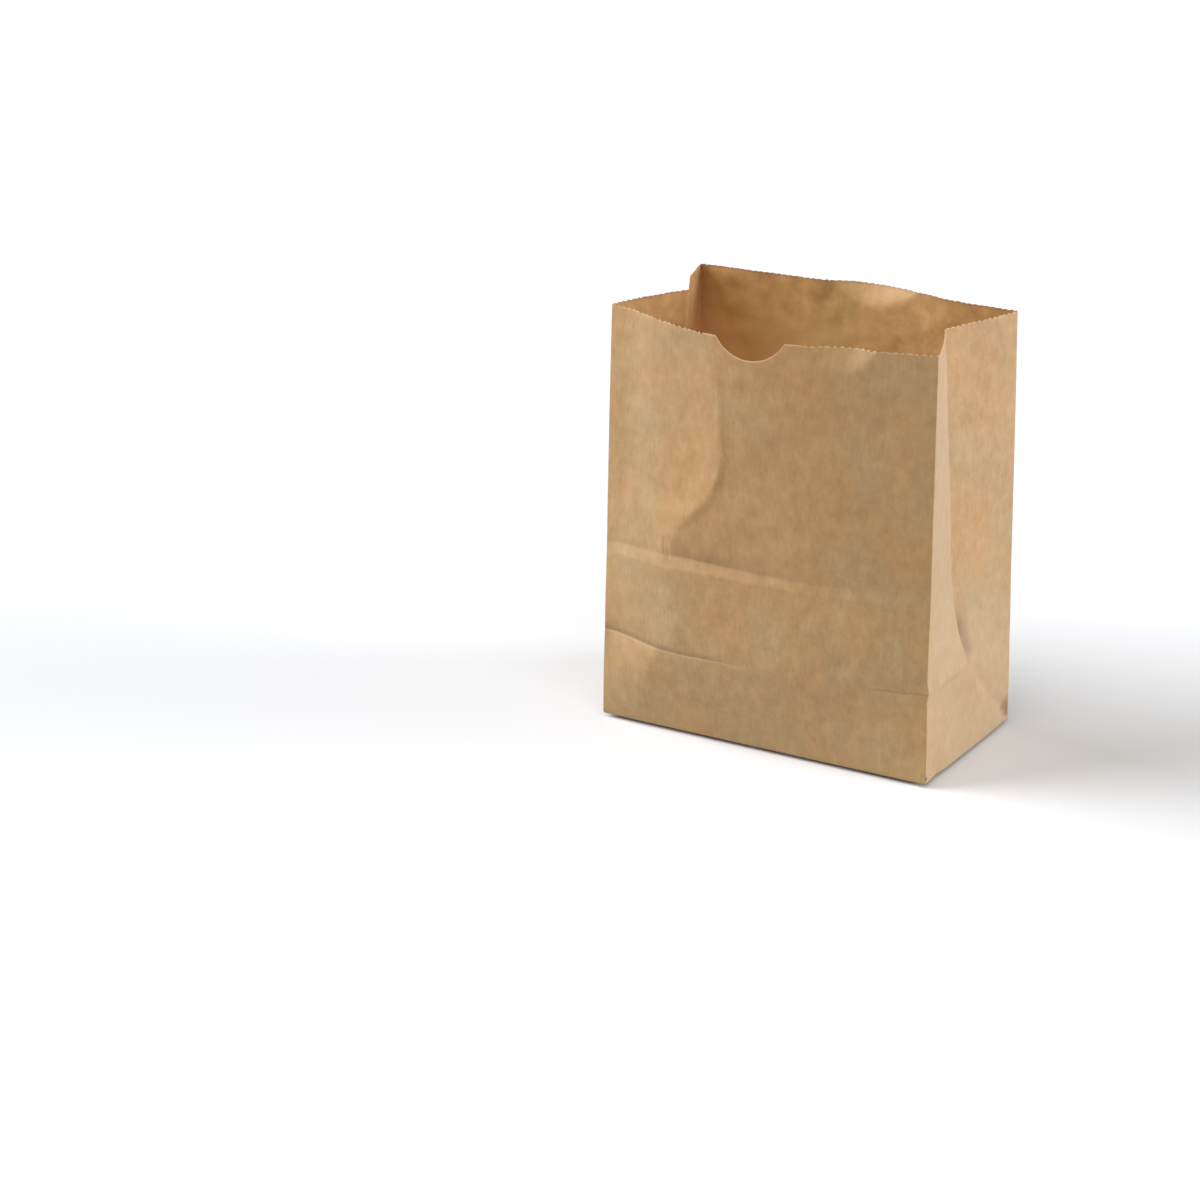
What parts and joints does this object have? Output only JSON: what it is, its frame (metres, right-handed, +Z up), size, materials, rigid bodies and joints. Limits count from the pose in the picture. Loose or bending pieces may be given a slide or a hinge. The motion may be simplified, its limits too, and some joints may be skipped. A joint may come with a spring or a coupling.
{
  "type": "paper compost bag",
  "caption": "Open block-bottom kraft paper bag with gusseted sides, a saw-cut rim and a thumb notch, for collecting kitchen scraps or compost.",
  "frame": {"origin": "middle of the flat base, on the surface that the bag stands on", "axes": "+Z up through the mouth, +X to the right along the front panel, +Y to the back; the thumb notch is in the front panel, towards -Y"},
  "size_m": [0.207, 0.1374, 0.248],
  "materials": {
    "kraft_paper": "matt unbleached brown kraft with cloudy fibre mottling, soft creases and cut edges"
  },
  "bodies": {
    "root": {"paper_bag": "kraft_paper"}
  },
  "joints": []
}
